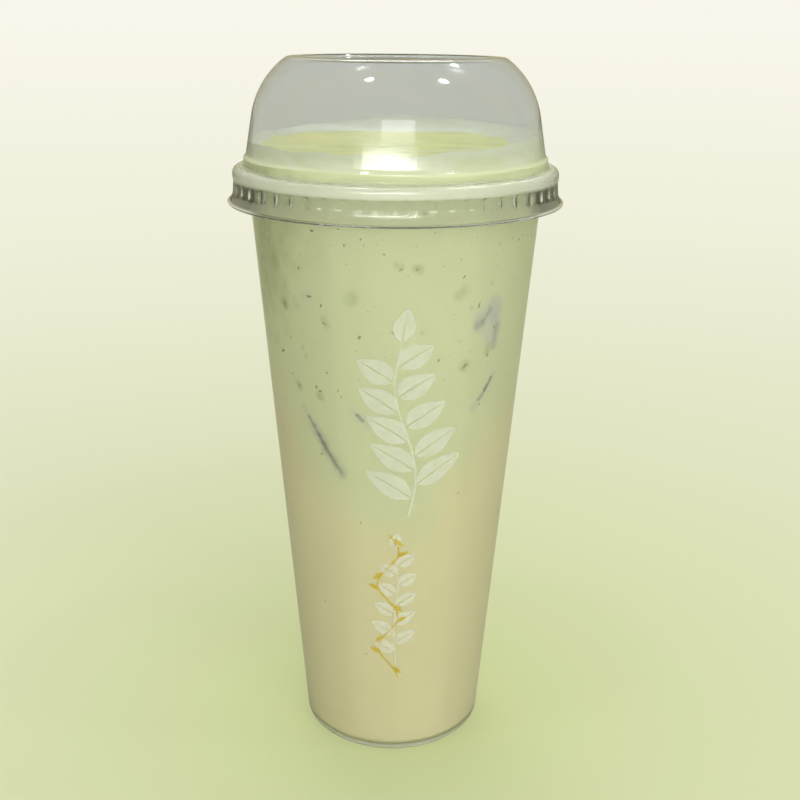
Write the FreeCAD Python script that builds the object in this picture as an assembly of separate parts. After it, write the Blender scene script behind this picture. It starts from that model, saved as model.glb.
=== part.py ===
import FreeCAD
import Part
import math
import os

# A take-away cup of pistachio milk tea: a clear tapered tumbler with a press-on domed lid,
# filled in layers up into the dome. Millimetres, +Z up, origin at the middle of the foot.

# Tumbler
cup_height = 177.5           # table to the top of the rim
mouth_radius = 41.6          # inside of the wall at the rim
foot_radius = 27.9           # outside of the wall, carried down to the table
cup_wall = 0.6               # measured level
rim_overhang = 3.1           # from the outside of the wall to the outside of the rim
rim_thickness = 0.9
rim_band_height = 3.1        # turned-down edge, from the top of the rim
rim_edge_radius = 0.5
rim_roll_radius = 0.9        # outer top corner of the rim, which the lid's bead follows
mouth_edge_radius = 0.25
foot_corner_radius = 2.0
foot_land_width = 2.2        # ring that the cup stands on
foot_recess_height = 1.2     # clear height under the floor
floor_thickness = 0.8
floor_corner_radius = 2.2

# Lid
lid_wall = 0.45
bead_clearance = 0.5         # between the rim and the bead that goes round it
neck_clearance = 0.28        # between the rim's radius and the neck under the bead
neck_height = 0.6            # from the bead in to the neck
skirt_height = 5.6           # from the neck down to the turned-out lip
skirt_flare = 1.1            # outwards, over the height of the skirt
skirt_straight = 0.3         # part of the flare that is reached before the skirt turns out
skirt_curve_height = 1.7     # from that turn down to the lip
skirt_curve_radius = 4.0
lip_width = 0.75
lip_drop = 0.35
dome_inset = 2.3             # from the rim's outer radius in to the foot of the dome
stacking_step_height = 2.45  # from the bead's top up to the step round the dome
stacking_step_width = 0.7
dome_height = 29.35          # from the bead's top to the crown
dome_draft = 10.0            # degrees
shoulder_radius = 24.0
crown_radius = 29.5          # flat top, inside its rounded edge
crown_edge_radius = 2.5
crown_ring_width = 3.4       # flat ring round the sunk panel
panel_depth = 0.7
tightest_bend = 0.15         # on the inside of a pressed corner
lug_pitch = 5.27             # spacing of the pressed lugs that grip under the rim
lug_reach = 0.4              # how far a lug reaches inside the rim's radius
lug_width = 1.0              # of the dent outside
lug_length = 2.3             # of the dent outside, upright, with its round ends
lug_gap = 0.15               # between the rim's lower edge and a lug

# Layers
tea_level = 102.0            # mean height of the milk tea under the pistachio layer
tea_saddle = 16.0            # higher at left and right, lower at front and back
tea_lean = 1.5               # lower at the front
tea_ripple = 0.8
foam_rise = 2.6              # top of the pistachio layer above the rim, inside the lid
foam_ripple = 0.3
dish_rise = 4.8              # bottom of the hollow in the cream, above the rim
dish_power = 6.5             # how late and sharply the cream turns up to the wall
cling_rises = (12.0, 9.7, 11.3, 11.9, 9.8, 8.5, 8.3, 7.9, 7.5, 7.4, 8.7, 10.8)
sauce_rise = 6.6             # level of the sauce above the rim
sauce_ripple = 0.15
sheet_margin = 6.0           # how far a layer's surface runs past the cup
sheet_spacing = 4.0          # between the points that shape it

# Sizes that follow
wall_lean = (mouth_radius + cup_wall - foot_radius) / cup_height
rim_radius = mouth_radius + cup_wall + rim_overhang
rim_bottom = cup_height - rim_band_height
floor_height = foot_recess_height + floor_thickness
bead_radius = rim_radius + bead_clearance + lid_wall
bead_top = cup_height + lid_wall
bead_edge_radius = rim_roll_radius + bead_clearance + lid_wall
pressed_bend = lid_wall + tightest_bend
neck_radius = rim_radius + neck_clearance + lid_wall
skirt_top = rim_bottom - 0.1
skirt_radius = neck_radius + skirt_flare
lip_height = skirt_top - skirt_height
dome_foot_radius = rim_radius - dome_inset
step_height = bead_top + stacking_step_height
crown_height = bead_top + dome_height
lug_height = rim_bottom - lug_gap - lid_wall - lug_length / 2
lug_count = round(2 * math.pi * rim_radius / lug_pitch)
origin = FreeCAD.Vector(0, 0, 0)
upright = FreeCAD.Vector(0, 0, 1)


def outer_wall_radius(height):
    """Outside radius of the tumbler's wall at a height."""
    return foot_radius + wall_lean * height


def point(radius, height):
    """A point of the profile plane, which is turned about the upright axis."""
    return FreeCAD.Vector(radius, 0, height)


def direction(start, end):
    """Unit vector from one profile point to another."""
    return (end - start).normalize()


def left_of(along):
    """The direction along, turned a quarter to the left in the profile plane."""
    return FreeCAD.Vector(-along.z, 0, along.x)


def meeting(start, along, other_start, other_along):
    """Where two lines of the profile plane cross."""
    cross = along.x * other_along.z - along.z * other_along.x
    gap = other_start - start
    return start + along * ((gap.x * other_along.z - gap.z * other_along.x) / cross)


def line_between(start, end):
    """A line as a list of one edge, or no edge where two arcs touch."""
    return [Part.makeLine(start, end)] if (end - start).Length > 1e-6 else []


def rounded_edges(corners):
    """Lines and tangent arcs along corners, each given as (radius, height, bend radius)."""
    places = [point(radius, height) for radius, height, bend in corners]
    edges = []
    last = places[0]
    for before, place, after, corner in zip(places, places[1:], places[2:], corners[1:]):
        bend = corner[2]
        into = direction(before, place)
        out_of = direction(place, after)
        half_turn = into.getAngle(out_of) / 2
        start = place - into * bend * math.tan(half_turn)
        end = place + out_of * bend * math.tan(half_turn)
        edges += line_between(last, start)
        if bend > 0:
            inward = direction(into, out_of)
            middle = place + inward * bend * (1 / math.cos(half_turn) - 1)
            edges.append(Part.Arc(start, middle, end).toShape())
        last = end
    return edges + line_between(last, places[-1])


def inner_skin(corners, wall):
    """The corners of the skin that lies one wall to the left of a path, bends included."""
    places = [point(radius, height) for radius, height, bend in corners]
    alongs = [direction(a, b) for a, b in zip(places, places[1:])]
    starts = [a + left_of(along) * wall for a, along in zip(places, alongs)]
    skin = [(starts[0].x, starts[0].z, 0)]
    for i in range(1, len(alongs)):
        place = meeting(starts[i - 1], alongs[i - 1], starts[i], alongs[i])
        turns_left = left_of(alongs[i - 1]).dot(alongs[i]) > 0
        skin.append((place.x, place.z, corners[i][2] + (-wall if turns_left else wall)))
    end = places[-1] + left_of(alongs[-1]) * wall
    skin.append((end.x, end.z, 0))
    return skin


def turned(edges):
    """The solid that a closed profile makes when it is turned about the upright axis."""
    face = Part.Face(Part.Wire(Part.sortEdges(edges)[0]))
    return face.revolve(origin, upright, 360)


def ends(edges):
    """First and last point of a run of edges."""
    return edges[0].Vertexes[0].Point, edges[-1].Vertexes[-1].Point


def turned_to_axis(corners):
    """The solid between a path and the upright axis."""
    edges = rounded_edges(corners)
    start, end = ends(edges)
    low = FreeCAD.Vector(0, 0, start.z)
    high = FreeCAD.Vector(0, 0, end.z)
    closing = line_between(end, high) + line_between(high, low) + line_between(low, start)
    return turned(edges + closing)


def mouth_corner():
    """Upper inside edge of the tumbler, which the drink follows too."""
    return (mouth_radius, cup_height, mouth_edge_radius)


def floor_corner():
    """Lower inside edge of the tumbler, which the milk tea follows too."""
    return (outer_wall_radius(floor_height) - cup_wall, floor_height, floor_corner_radius)


def make_cup():
    """Tapered tumbler on a foot ring, with a raised floor and a turned-down rim."""
    land_inside = foot_radius - foot_corner_radius / 2 - foot_land_width
    recess_radius = land_inside - foot_recess_height / 2
    under_rim = cup_height - rim_thickness
    band_inside = rim_radius - rim_thickness
    small_radius = rim_edge_radius / 2
    return turned_to_axis([
        (0, foot_recess_height, 0),
        (recess_radius, foot_recess_height, rim_edge_radius),
        (land_inside, 0, rim_edge_radius),
        (foot_radius, 0, foot_corner_radius),
        (outer_wall_radius(under_rim), under_rim, rim_edge_radius),
        (band_inside, under_rim, small_radius),
        (band_inside, rim_bottom, small_radius),
        (rim_radius, rim_bottom, rim_edge_radius),
        (rim_radius, cup_height, rim_roll_radius),
        mouth_corner(),
        floor_corner(),
        (0, floor_height, 0),
    ])


def shoulder_corners(wall_foot):
    """Two corners that round the drafted wall into the crown: the shoulder's arc touches the wall
    and the small arc of the crown's edge, and its centre is found from both radii."""
    draft = math.radians(dome_draft)
    up_the_wall = FreeCAD.Vector(-math.sin(draft), 0, math.cos(draft))
    inward = left_of(up_the_wall)
    edge_centre = point(crown_radius, crown_height - crown_edge_radius)
    depth = (edge_centre - wall_foot).dot(inward)
    climb = (edge_centre - wall_foot).dot(up_the_wall)
    apart = shoulder_radius - crown_edge_radius
    climb -= math.sqrt(apart ** 2 - (shoulder_radius - depth) ** 2)
    centre = wall_foot + up_the_wall * climb + inward * shoulder_radius
    outward = direction(centre, edge_centre)
    touch = centre + outward * shoulder_radius
    tangent = left_of(outward)
    shoulder = meeting(wall_foot, up_the_wall, touch, tangent)
    edge = meeting(point(0, crown_height), point(1, 0), touch, tangent)
    return [(shoulder.x, shoulder.z, shoulder_radius), (edge.x, edge.z, crown_edge_radius)]


def skirt_corners():
    """Outer skin under the dome: lip, flared skirt, neck and the bead round the rim."""
    return [
        (skirt_radius + lip_width, lip_height - lip_drop, 0),
        (skirt_radius, lip_height, tightest_bend),
        (neck_radius + skirt_straight, lip_height + skirt_curve_height, skirt_curve_radius),
        (neck_radius, skirt_top, pressed_bend),
        (bead_radius, skirt_top + neck_height, pressed_bend),
        (bead_radius, bead_top, bead_edge_radius),
    ]


def dome_corners():
    """Outer skin of the dome: its foot on the rim, stacking step, drafted wall and crown."""
    step_radius = dome_foot_radius - stacking_step_width
    wall_foot = step_height + stacking_step_width
    panel_edge = crown_radius - crown_ring_width
    return [
        (dome_foot_radius, bead_top, pressed_bend),
        (dome_foot_radius, step_height, pressed_bend),
        (step_radius, wall_foot, pressed_bend),
        *shoulder_corners(point(step_radius, wall_foot)),
        (panel_edge, crown_height, pressed_bend),
        (panel_edge - panel_depth, crown_height - panel_depth, pressed_bend),
        (0, crown_height - panel_depth, 0),
    ]


def upright_bar(reach, width, length):
    """A round-ended bar in the place of one lug, from a radius outwards through the skirt."""
    half = (length - width) / 2
    low = point(reach, lug_height - half)
    high = point(reach, lug_height + half)
    side = FreeCAD.Vector(0, width / 2, 0)
    tip = upright * (width / 2)
    outline = Part.Wire([
        Part.makeLine(low - side, high - side),
        Part.Arc(high - side, high + tip, high + side).toShape(),
        Part.makeLine(high + side, low + side),
        Part.Arc(low + side, low - tip, low - side).toShape(),
    ])
    return Part.Face(outline).extrude(point(skirt_radius - reach, 0))


def round_the_skirt(lug):
    """Copies of one lug, evenly spaced."""
    copies = [lug.copy() for i in range(lug_count)]
    for i, copy in enumerate(copies):
        copy.rotate(origin, upright, 360 * (i + 0.5) / lug_count)
    return copies


def make_lid():
    """Thin domed lid, with lugs pressed into its skirt that grip under the rim."""
    corners = skirt_corners() + dome_corners()
    outer = rounded_edges(corners)
    inner = rounded_edges(inner_skin(corners, lid_wall))
    lip, crown = [Part.makeLine(a, b) for a, b in zip(ends(outer), ends(inner))]
    shell = turned([*outer, *inner, lip, crown])

    reach = rim_radius - lug_reach
    dent = upright_bar(reach + lid_wall, lug_width, lug_length)
    bump = upright_bar(reach, lug_width + 2 * lid_wall, lug_length + 2 * lid_wall)
    bump = bump.common(turned_to_axis(corners))
    lid = shell.fuse(round_the_skirt(bump)).cut(round_the_skirt(dent))
    lid.rotate(origin, upright, -90)    # the gap before the first lug faces the front
    return lid


def make_contents():
    """All the room inside the tumbler and the dome."""
    dome = inner_skin(skirt_corners() + dome_corners(), lid_wall)[len(skirt_corners()):]
    dome_foot = (dome[0][0], cup_height, 0)
    return turned_to_axis([(0, floor_height, 0), floor_corner(), mouth_corner(),
                           dome_foot, *dome[1:]])


def below(height_at):
    """All that lies under an uneven level, given as a height for each place on the table."""
    half = rim_radius + sheet_margin
    count = math.ceil(2 * half / sheet_spacing) + 1
    steps = [half * (2 * i / (count - 1) - 1) for i in range(count)]
    sheet = Part.BSplineSurface()
    sheet.interpolate([[FreeCAD.Vector(x, y, height_at(x, y)) for y in steps] for x in steps])
    return sheet.toShape().extrude(upright * -2 * crown_height)


def tea_top(x, y):
    """The milk tea stands higher at both sides than at the front and back."""
    saddle = tea_saddle * (x ** 2 - y ** 2) / mouth_radius ** 2
    ripple = tea_ripple * math.sin(x / 9) * math.cos(y / 7 + 0.6)
    return tea_level + saddle + tea_lean * y / mouth_radius + ripple


def foam_top(x, y):
    """The pistachio layer ends near the stacking step, almost level."""
    return cup_height + foam_rise + foam_ripple * math.sin(x / 11 + 0.4) * math.cos(y / 13)


def cling_rise(angle):
    """How high the cream clings to the dome at an angle, smoothly between the given rises."""
    place = angle / (2 * math.pi) * len(cling_rises) % len(cling_rises)
    first = int(place)
    start = cling_rises[first]
    end = cling_rises[(first + 1) % len(cling_rises)]
    return start + (end - start) * (1 - math.cos(math.pi * (place - first))) / 2


def cream_top(x, y):
    """A dish: nearly flat in the middle, turning up to the dome's wall. It goes on straight
    outside the wall."""
    wall_radius = dome_foot_radius - stacking_step_width - lid_wall
    share = math.hypot(x, y) / wall_radius
    curl = share ** dish_power if share < 1 else 1 + dish_power * (share - 1)
    return cup_height + dish_rise + (cling_rise(math.atan2(y, x)) - dish_rise) * curl


def sauce_top(x, y):
    """The sauce lies level in the dish, with a slight swirl."""
    return cup_height + sauce_rise + sauce_ripple * math.sin(x / 8 + math.cos(y / 10))


def make_layers():
    """The drink and its toppings, from the floor up, each filling the room over the last."""
    room = make_contents()
    under_tea = below(tea_top)
    under_foam = below(foam_top)
    under_cream = below(cream_top)
    return {
        "milk_tea": room.common(under_tea),
        "pistachio_foam": room.common(under_foam).cut(under_tea),
        "cream_cap": room.common(under_cream).cut(under_foam),
        "pistachio_sauce": room.common(below(sauce_top)).cut(under_cream),
    }


os.makedirs("parts", exist_ok=True)
nodes = {"cup": make_cup(), "lid": make_lid(), **make_layers()}
for name, shape in nodes.items():
    shape.exportStep(f"parts/{name}.step")
    print(name, len(shape.Solids), "solid", round(shape.Volume / 1000, 2), "cm3")
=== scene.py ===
import math
import bpy
import numpy as np
from mathutils import Matrix


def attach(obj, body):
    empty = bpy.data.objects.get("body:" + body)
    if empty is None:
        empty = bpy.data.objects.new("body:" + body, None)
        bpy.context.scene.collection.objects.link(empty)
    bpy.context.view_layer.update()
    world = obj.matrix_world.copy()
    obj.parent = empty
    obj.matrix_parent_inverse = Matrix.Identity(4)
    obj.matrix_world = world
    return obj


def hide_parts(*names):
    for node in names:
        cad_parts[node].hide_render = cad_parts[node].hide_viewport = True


# Pistachio milk tea in a clear cup with a domed lid. Metres, +Z up, the foot's middle at the origin and
# the print towards -Y. Sizes in the dictionaries are millimetres, which mm turns into metres.

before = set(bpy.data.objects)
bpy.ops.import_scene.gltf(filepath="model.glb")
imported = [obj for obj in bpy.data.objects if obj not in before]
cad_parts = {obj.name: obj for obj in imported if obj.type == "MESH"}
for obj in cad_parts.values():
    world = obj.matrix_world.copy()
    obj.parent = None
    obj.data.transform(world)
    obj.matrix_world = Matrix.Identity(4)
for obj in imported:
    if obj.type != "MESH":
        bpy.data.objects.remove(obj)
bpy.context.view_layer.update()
mm = 0.001
fewestArcPoints = 5
rng = np.random.default_rng(20)
print("frame loaded")


# Points along straight runs joined by tangent arcs. A corner is (radius, height, bend): its arc starts
# bend * tan(half the turn) before the corner and turns about a centre one bend to the side.
def roundedPath(corners, arcStep=0.12, lineStep=9.0):
    places = [np.array(corner[:2], float) for corner in corners]
    runs = [places[:1]]
    last = places[0]
    for i in range(1, len(places) - 1):
        into, outOf = places[i] - places[i - 1], places[i + 1] - places[i]
        into, outOf = into / np.linalg.norm(into), outOf / np.linalg.norm(outOf)
        turn = math.atan2(into[0] * outOf[1] - into[1] * outOf[0], into @ outOf)
        bend = max(corners[i][2], 0)
        start = places[i] - into * bend * math.tan(abs(turn) / 2)
        side = np.array([-into[1], into[0]]) * math.copysign(bend, turn)
        count = max(fewestArcPoints, math.ceil(abs(turn) * bend / arcStep)) if bend > 0 else 1
        angles = np.linspace(0, turn, count)[:, None]
        across = np.array([side[1], -side[0]])
        arc = start + side - side * np.cos(angles) + across * np.sin(angles)
        runs += [straightRun(last, arc[0], lineStep), arc]
        last = arc[-1]
    runs += [straightRun(last, places[-1], lineStep), places[-1:]]
    path = np.vstack(runs)
    return path[np.append(True, np.linalg.norm(np.diff(path, axis=0), axis=1) > 1e-4)]


# Places between two points, without the points themselves, evenly spaced and at most one step apart.
def straightRun(start, end, step):
    count = math.ceil(np.linalg.norm(end - start) / step)
    share = np.arange(1, count)[:, None] / max(count, 1)
    return start + (end - start) * share


# The same corners moved one wall to the left of the path. An arc that turns left gets tighter by the wall.
def innerSkin(corners, wall):
    places = np.array([corner[:2] for corner in corners], float)
    alongs = np.diff(places, axis=0)
    alongs /= np.linalg.norm(alongs, axis=1)[:, None]
    lefts = np.stack([-alongs[:, 1], alongs[:, 0]], 1)
    skin = [(*(places[0] + lefts[0] * wall), 0)]
    for i in range(1, len(alongs)):
        crossing = alongs[i - 1][0] * alongs[i][1] - alongs[i - 1][1] * alongs[i][0]
        place = places[i] + (lefts[i - 1] + lefts[i]) * wall / (1 + alongs[i - 1] @ alongs[i])
        skin.append((*place, max(corners[i][2] - wall * np.sign(crossing), 0)))
    skin.append((*(places[-1] + lefts[-1] * wall), 0))
    return skin


def newObject(name, data):
    thing = bpy.data.objects.new(name, data)
    bpy.context.scene.collection.objects.link(thing)
    return thing


# Points come in millimetres, faces as a list of arrays of corner numbers.
def newPiece(name, points, faces, sharp):
    mesh = bpy.data.meshes.new(name)
    mesh.from_pydata((np.asarray(points) * mm).tolist(), [], [face for part in faces for face in part.tolist()])
    mesh.polygons.foreach_set("use_smooth", np.ones(len(mesh.polygons), bool))
    mesh.set_sharp_from_angle(angle=math.radians(sharp))
    mesh.update()
    piece = newObject(name, mesh)
    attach(piece, "root")
    return piece


# Quads between neighbouring rows and columns of points. The last column joins the first where it wraps.
def gridFaces(rows, columns, wrap, first=0):
    index = np.arange(rows * columns).reshape(rows, columns) + first
    right = np.roll(index, -1, axis=1)
    quads = np.stack([index[:-1], right[:-1], right[1:], index[1:]], -1)
    return (quads if wrap else quads[:, :-1]).reshape(-1, 4)


# Triangles from the first and the last row of a wrapped grid to the two points that follow the grid.
def capFans(rows, columns):
    start = np.arange(columns)
    end = start + (rows - 1) * columns
    lowPole = np.full(columns, rows * columns)
    return [np.stack([lowPole, np.roll(start, -1), start], 1), np.stack([end, np.roll(end, -1), lowPole + 1], 1)]


# Rings round the axis, one row of radii and heights for each, closed by a point on the axis at both ends:
# a place is (radius * cos(angle), radius * sin(angle), height).
def turnedPiece(name, radii, heights, angles, sharp=50):
    rows, columns = radii.shape
    rings = np.stack([radii * np.cos(angles), radii * np.sin(angles), heights], -1).reshape(-1, 3)
    poles = [[0, 0, heights[0].mean()], [0, 0, heights[-1].mean()]]
    faces = [gridFaces(rows, columns, True), *capFans(rows, columns)]
    return newPiece(name, np.vstack([rings, poles]), faces, sharp)


# 0 below low, 1 above high and share * share * (3 - 2 * share) between them.
def smoothStep(low, high, value):
    share = np.clip((value - low) / (high - low), 0, 1)
    return share * share * (3 - 2 * share)


def evenAngles(count):
    return np.linspace(0, 2 * math.pi, count, endpoint=False)


# A path's radii and heights, the same at every column.
def turned(path, columns):
    return path[:, :1] * np.ones(columns), path[:, 1:] * np.ones(columns)


cup = {
    "height": 177.5, "mouthRadius": 41.6, "footRadius": 27.9, "wall": 0.6,
    "rimOverhang": 3.1, "rimThickness": 0.9, "rimBand": 3.1, "rimEdge": 0.5, "rimRoll": 0.9,
    "mouthEdge": 0.25, "footCorner": 2.0, "footLand": 2.2, "footRecess": 1.2,
    "floor": 0.8, "floorCorner": 2.2, "columns": 256,
}
cupLean = (cup["mouthRadius"] + cup["wall"] - cup["footRadius"]) / cup["height"]
rimRadius = cup["mouthRadius"] + cup["wall"] + cup["rimOverhang"]
rimBottom = cup["height"] - cup["rimBand"]
floorHeight = cup["footRecess"] + cup["floor"]


# The wall leans outwards evenly from the foot to the rim.
def outerWall(height):
    return cup["footRadius"] + cupLean * height


def innerWall(height):
    return outerWall(height) - cup["wall"]


# Under the floor, over the foot ring, up the outside, round the rim and down the inside.
def cupPath():
    landInside = cup["footRadius"] - cup["footCorner"] / 2 - cup["footLand"]
    underRim = cup["height"] - cup["rimThickness"]
    bandInside = rimRadius - cup["rimThickness"]
    return roundedPath([
        (0, cup["footRecess"], 0),
        (landInside - cup["footRecess"] / 2, cup["footRecess"], cup["rimEdge"]),
        (landInside, 0, cup["rimEdge"]),
        (cup["footRadius"], 0, cup["footCorner"]),
        (outerWall(underRim), underRim, cup["rimEdge"]),
        (bandInside, underRim, cup["rimEdge"] / 2),
        (bandInside, rimBottom, cup["rimEdge"] / 2),
        (rimRadius, rimBottom, cup["rimEdge"]),
        (rimRadius, cup["height"], cup["rimRoll"]),
        (cup["mouthRadius"], cup["height"], cup["mouthEdge"]),
        (innerWall(floorHeight), floorHeight, cup["floorCorner"]),
        (0, floorHeight, 0),
    ])


def makeCup():
    columns = cup["columns"]
    return turnedPiece("clearCup", *turned(cupPath()[1:-1], columns), evenAngles(columns))


clearCup = makeCup()
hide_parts("cup")
print("cup made")


lid = {
    "wall": 0.45, "beadClearance": 0.5, "neckClearance": 0.28, "neckHeight": 0.6,
    "skirtHeight": 5.6, "skirtFlare": 1.1, "skirtStraight": 0.3, "skirtCurveHeight": 1.7,
    "skirtCurve": 4.0, "lipWidth": 0.75, "lipDrop": 0.35, "domeInset": 2.3,
    "stepHeight": 2.45, "stepWidth": 0.7, "domeHeight": 29.35, "draft": 10.0,
    "shoulder": 24.0, "crownRadius": 29.5, "crownEdge": 2.5, "crownRing": 3.4, "panelDepth": 0.7,
    "tightBend": 0.15, "rimGap": 0.1, "arcStep": 1.1, "lineStep": 0.35, "sharp": 70,
    "lugPitch": 5.27, "lugReach": 0.4, "lugWidth": 1.0, "lugLength": 2.3, "lugGap": 0.15,
    "lugZone": 3.8, "lugShare": 0.4, "lugFade": (-0.25, 0.45),
    "lugColumns": (-1.1, -0.75, -0.48, 0, 0.48, 0.75, 1.1),
}
beadTop = cup["height"] + lid["wall"]
domeFoot = rimRadius - lid["domeInset"]
stepTop = beadTop + lid["stepHeight"]
crownHeight = beadTop + lid["domeHeight"]


# Where the drafted wall, the shoulder's arc and the crown's edge meet: the shoulder's arc touches the wall
# and the small edge arc, so its centre lies one shoulder radius inside the wall's line.
def shoulderCorners(footRadius, footHeight):
    draft = math.radians(lid["draft"])
    foot = np.array([footRadius, footHeight])
    up = np.array([-math.sin(draft), math.cos(draft)])
    inward = np.array([-up[1], up[0]])
    edge = np.array([lid["crownRadius"], crownHeight - lid["crownEdge"]])
    depth, climb = (edge - foot) @ inward, (edge - foot) @ up
    climb -= math.sqrt((lid["shoulder"] - lid["crownEdge"]) ** 2 - (lid["shoulder"] - depth) ** 2)
    centre = foot + up * climb + inward * lid["shoulder"]
    outward = (edge - centre) / np.linalg.norm(edge - centre)
    touch = centre + outward * lid["shoulder"]
    tangent = np.array([-outward[1], outward[0]])
    toCrown = (crownHeight - touch[1]) / tangent[1]
    knee = np.linalg.solve(np.stack([up, -tangent], 1), touch - foot)[0]
    return [(*(foot + up * knee), lid["shoulder"]), (*(touch + tangent * toCrown), lid["crownEdge"])]


def skirtCorners():
    bend = lid["wall"] + lid["tightBend"]
    bead = rimRadius + lid["beadClearance"] + lid["wall"]
    neck = rimRadius + lid["neckClearance"] + lid["wall"]
    skirtTop = rimBottom - lid["rimGap"]
    lip = skirtTop - lid["skirtHeight"]
    skirt = neck + lid["skirtFlare"]
    return [
        (skirt + lid["lipWidth"], lip - lid["lipDrop"], 0),
        (skirt, lip, lid["tightBend"]),
        (neck + lid["skirtStraight"], lip + lid["skirtCurveHeight"], lid["skirtCurve"]),
        (neck, skirtTop, bend),
        (bead, skirtTop + lid["neckHeight"], bend),
        (bead, beadTop, cup["rimRoll"] + lid["beadClearance"] + lid["wall"]),
    ]


def domeCorners():
    bend = lid["wall"] + lid["tightBend"]
    stepRadius = domeFoot - lid["stepWidth"]
    wallFoot = stepTop + lid["stepWidth"]
    panel = lid["crownRadius"] - lid["crownRing"]
    return [
        (domeFoot, beadTop, bend),
        (domeFoot, stepTop, bend),
        (stepRadius, wallFoot, bend),
        *shoulderCorners(stepRadius, wallFoot),
        (panel, crownHeight, bend),
        (panel - lid["panelDepth"], crownHeight - lid["panelDepth"], bend),
        (0, crownHeight - lid["panelDepth"], 0),
    ]


# Close columns across each lug and a wide one between two lugs.
def lugAngles(count):
    pitch = 2 * math.pi / count
    across = np.array(lid["lugColumns"]) / rimRadius
    return (np.arange(count)[:, None] * pitch + np.append(across, pitch / 2)).ravel(), pitch


# How far the skin is pressed in: full inside a round-ended upright bar, fading outside it.
def lugDent(heights, angles, pitch, wide):
    across = ((angles + pitch / 2) % pitch - pitch / 2) * rimRadius
    width, length = lid["lugWidth"] + 2 * wide, lid["lugLength"] + 2 * wide
    middle = rimBottom - lid["lugGap"] - lid["wall"] - lid["lugLength"] / 2
    past = np.maximum(np.abs(heights - middle) - (length - width) / 2, 0)
    return 1 - smoothStep(*lid["lugFade"], np.hypot(across, past) - width / 2)


# Keeps the close points of straight runs only beside bends and in the skirt, where the lugs are.
def thinned(path):
    before, after = path[1:-1] - path[:-2], path[2:] - path[1:-1]
    bent = np.abs(before[:, 0] * after[:, 1] - before[:, 1] * after[:, 0]) > 1e-6
    beside = np.append(bent[1:], False) | np.append(False, bent[:-1])
    inLugs = (path[1:-1, 1] > rimBottom - lid["lugZone"]) & (path[1:-1, 1] < rimBottom)
    return path[np.concatenate([[True], bent | beside | inLugs, [True]])]


# The inner skin from the crown down, then the outer skin from the lip up, both with their lugs: a share
# of the way from the skin to the radius that a lug reaches.
def makeLid():
    corners = skirtCorners() + domeCorners()
    outer = thinned(roundedPath(corners, lid["arcStep"], lid["lineStep"]))
    inner = thinned(roundedPath(innerSkin(corners, lid["wall"]), lid["arcStep"], lid["lineStep"]))
    angles, pitch = lugAngles(round(2 * math.pi * rimRadius / lid["lugPitch"]))
    floor = rimRadius - lid["lugReach"]
    skins = []
    for path, wide, target in ((inner[::-1][1:], lid["wall"], floor), (outer[:-1], 0.0, floor + lid["wall"])):
        radii, heights = turned(path, len(angles))
        press = lugDent(heights, angles, pitch, wide) * (radii > target) * (heights < rimBottom)
        skins.append((radii + (target - radii) * press * lid["lugShare"], heights))
    radii, heights = np.vstack([skin[0] for skin in skins]), np.vstack([skin[1] for skin in skins])
    return turnedPiece("domeLid", radii, heights, angles, lid["sharp"])


domeLid = makeLid()
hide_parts("lid")
print("lid made,", len(domeLid.data.polygons), "faces")


drink = {
    "intoWall": 0.14, "teaLevel": 102.0, "saddle": 16.0, "lean": 1.5, "ripple": 0.8,
    "foamRise": 2.6, "foamRipple": 0.3, "dishRise": 4.8, "dishPower": 6.5,
    "clingRises": (13.8, 10.4, 11.3, 11.9, 9.8, 8.5, 8.3, 7.9, 7.5, 7.4, 8.7, 10.8),
    "sauceRise": 6.6, "sauceRipple": 0.15, "sauceSmear": 0.22, "sauceRings": 70,
    "sauceOverlap": 0.5, "sauceThickness": 0.4, "sauceSunk": 0.3,
    "columns": 288, "wallStep": 2.0, "cornerTop": 12.0, "ringSpread": 0.8, "sharp": 35,
}
dishRadius = domeFoot - lid["stepWidth"] - lid["wall"]


# A saddle, high at the sides, that leans down towards the front and ripples a little.
def teaTop(x, y):
    saddle = drink["saddle"] * (x ** 2 - y ** 2) / cup["mouthRadius"] ** 2
    ripple = drink["ripple"] * np.sin(x / 9) * np.cos(y / 7 + 0.6)
    return drink["teaLevel"] + saddle + drink["lean"] * y / cup["mouthRadius"] + ripple


def foamTop(x, y):
    return cup["height"] + drink["foamRise"] + drink["foamRipple"] * np.sin(x / 11 + 0.4) * np.cos(y / 13)


# The cream's height on the wall: smooth between the given rises, with a ragged edge.
def clingRise(angle):
    rises = np.array(drink["clingRises"])
    place = angle / (2 * math.pi) * len(rises) % len(rises)
    first = place.astype(int) % len(rises)
    share = (1 - np.cos(math.pi * (place % 1))) / 2
    ragged = 0.3 * np.sin(9 * angle + 1) * np.sin(5 * angle) + 0.18 * np.sin(23 * angle + 2 * np.sin(7 * angle))
    return rises[first] + (rises[(first + 1) % len(rises)] - rises[first]) * share + ragged


# A dish: level in the middle, then climbing as share ** dishPower to the height it clings to.
def creamTop(x, y):
    share = np.hypot(x, y) / dishRadius
    climb = np.where(share < 1, share ** drink["dishPower"], 1 + drink["dishPower"] * (share - 1))
    rise = clingRise(np.arctan2(y, x) % (2 * math.pi))
    return cup["height"] + drink["dishRise"] + (rise - drink["dishRise"]) * climb


# Nearly level, with long smears swept across it.
def sauceTop(x, y):
    sweep = np.sin(y / 2.1 + 1.4 * np.sin(x / 14)) * np.cos(x / 17 - 0.6)
    ripple = drink["sauceRipple"] * np.sin(x / 8 + np.cos(y / 10))
    return cup["height"] + drink["sauceRise"] + drink["sauceSmear"] * sweep + ripple


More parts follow.
